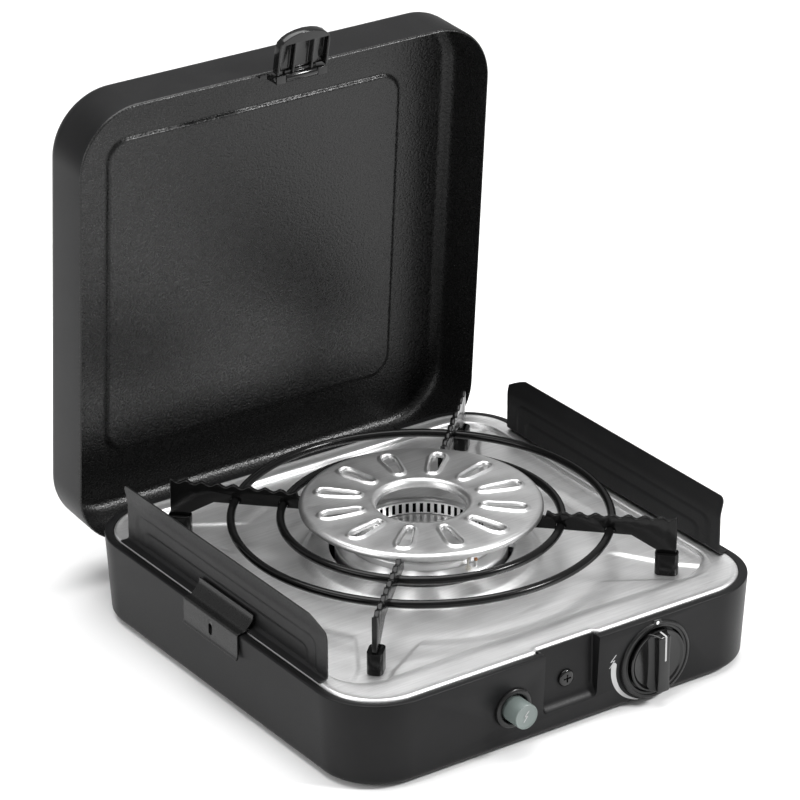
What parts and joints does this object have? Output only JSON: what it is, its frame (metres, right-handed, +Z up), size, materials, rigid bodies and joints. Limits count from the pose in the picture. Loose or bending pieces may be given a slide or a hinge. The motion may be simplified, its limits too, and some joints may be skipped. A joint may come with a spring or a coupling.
{
  "type": "camping stove",
  "caption": "Square black camping stove with a stainless tray, a round burner under a pan support, clip-on windscreens and a hinged lid with a latch, shown open.",
  "frame": {"origin": "on the ground under the centre of the open stove's footprint, level with the undersides of the feet", "axes": "+X to the right seen from the controls, +Y from the controls towards the hinge, +Z up"},
  "size_m": [0.3054, 0.3578, 0.3513],
  "materials": {
    "textured_black": "fine textured black moulding",
    "stainless": "brushed stainless sheet",
    "black_screw": "black oxide pan-head screw",
    "black_enamel": "satin black enamel on steel rod and plate",
    "black_painted_sheet": "satin black painted sheet steel",
    "plated_steel": "zinc-plated steel",
    "knob_black": "smooth satin black moulding",
    "pale_print": "pale grey pointer line",
    "brass_part": "machined brass",
    "cast_aluminium": "drawn aluminium tube",
    "copper_part": "bare copper",
    "button_grey": "translucent grey-green moulding",
    "white_ceramic": "glazed white ceramic",
    "rubber_black": "soft black rubber"
  },
  "bodies": {
    "case": {"case_shell": "textured_black", "case_foot_front_left": "rubber_black", "case_foot_front_right": "rubber_black", "case_foot_rear_left": "rubber_black", "case_foot_rear_right": "rubber_black", "catch_screw": "black_screw", "drip_tray": "stainless", "burner_body": "stainless", "burner_port_ring": "stainless", "burner_centre_plate": "stainless", "burner_shroud": "stainless", "hinge_pin_left": "plated_steel", "hinge_pin_right": "plated_steel", "valve_body": "brass_part", "gas_jet": "brass_part", "mixing_tube": "cast_aluminium", "gas_inlet": "brass_part", "supply_pipe": "copper_part", "igniter_spring": "plated_steel", "igniter_module": "knob_black", "ignition_electrode": "white_ceramic", "ignition_lead": "rubber_black", "thermocouple": "copper_part", "thermocouple_lead": "copper_part"},
    "lid": {"lid_shell": "textured_black", "hinge_strap_left": "black_painted_sheet", "hinge_strap_right": "black_painted_sheet", "latch_mount": "knob_black", "latch_pin": "plated_steel"},
    "latch": {"latch_lever": "knob_black"},
    "knob_stem": {"valve_stem": "brass_part"},
    "knob": {"control_knob": "knob_black", "knob_pointer": "pale_print"},
    "igniter": {"igniter_button": "button_grey"},
    "pan_support": {"support_ring_outer": "black_enamel", "support_ring_inner": "black_enamel", "support_arm_front_left": "black_enamel", "support_arm_front_right": "black_enamel", "support_arm_rear_left": "black_enamel", "support_arm_rear_right": "black_enamel", "support_shoe_front_left": "rubber_black", "support_shoe_front_right": "rubber_black", "support_shoe_rear_left": "rubber_black", "support_shoe_rear_right": "rubber_black"},
    "spreader": {"flame_spreader": "stainless"},
    "windscreen_left_set": {"windscreen_left": "black_painted_sheet", "windscreen_clip_left": "black_painted_sheet"},
    "windscreen_right_set": {"windscreen_right": "black_painted_sheet", "windscreen_clip_right": "black_painted_sheet"}
  },
  "joints": [
    {"name": "lid_hinge", "type": "hinge", "parent": "case", "child": "lid", "pos_m": [0, 0.11897, 0.03796], "axis": [-1, 0, 0], "range_deg": [-85.86, 0]},
    {"name": "latch_hinge", "type": "hinge", "parent": "lid", "child": "latch", "pos_m": [0, 0.11057, 0.32076], "axis": [-1, 0, 0], "range_deg": [-82.5, 0]},
    {"name": "knob_push", "type": "slide", "parent": "case", "child": "knob_stem", "axis": [0, 1, 0], "range_m": [0, 0.003], "stiffness_N_per_m": 1000, "springref_m": -0.002},
    {"name": "knob_turn", "type": "hinge", "parent": "knob_stem", "child": "knob", "pos_m": [0.061, -0.1669, 0.0285], "axis": [0, -1, 0], "range_deg": [0, 180]},
    {"name": "igniter_push", "type": "slide", "parent": "case", "child": "igniter", "axis": [0, 1, 0], "range_m": [0, 0.005], "stiffness_N_per_m": 1500, "springref_m": -0.002},
    {"name": "pan_support_lift", "type": "slide", "parent": "case", "child": "pan_support", "axis": [0, 0, 1], "range_m": [0, 0.06]},
    {"name": "flame_spreader_lift", "type": "slide", "parent": "pan_support", "child": "spreader", "axis": [0, 0, 1], "range_m": [0, 0.03]},
    {"name": "windscreen_left_lift", "type": "slide", "parent": "case", "child": "windscreen_left_set", "axis": [0, 0, 1], "range_m": [0, 0.06]},
    {"name": "windscreen_right_lift", "type": "slide", "parent": "case", "child": "windscreen_right_set", "axis": [0, 0, 1], "range_m": [0, 0.06]}
  ]
}
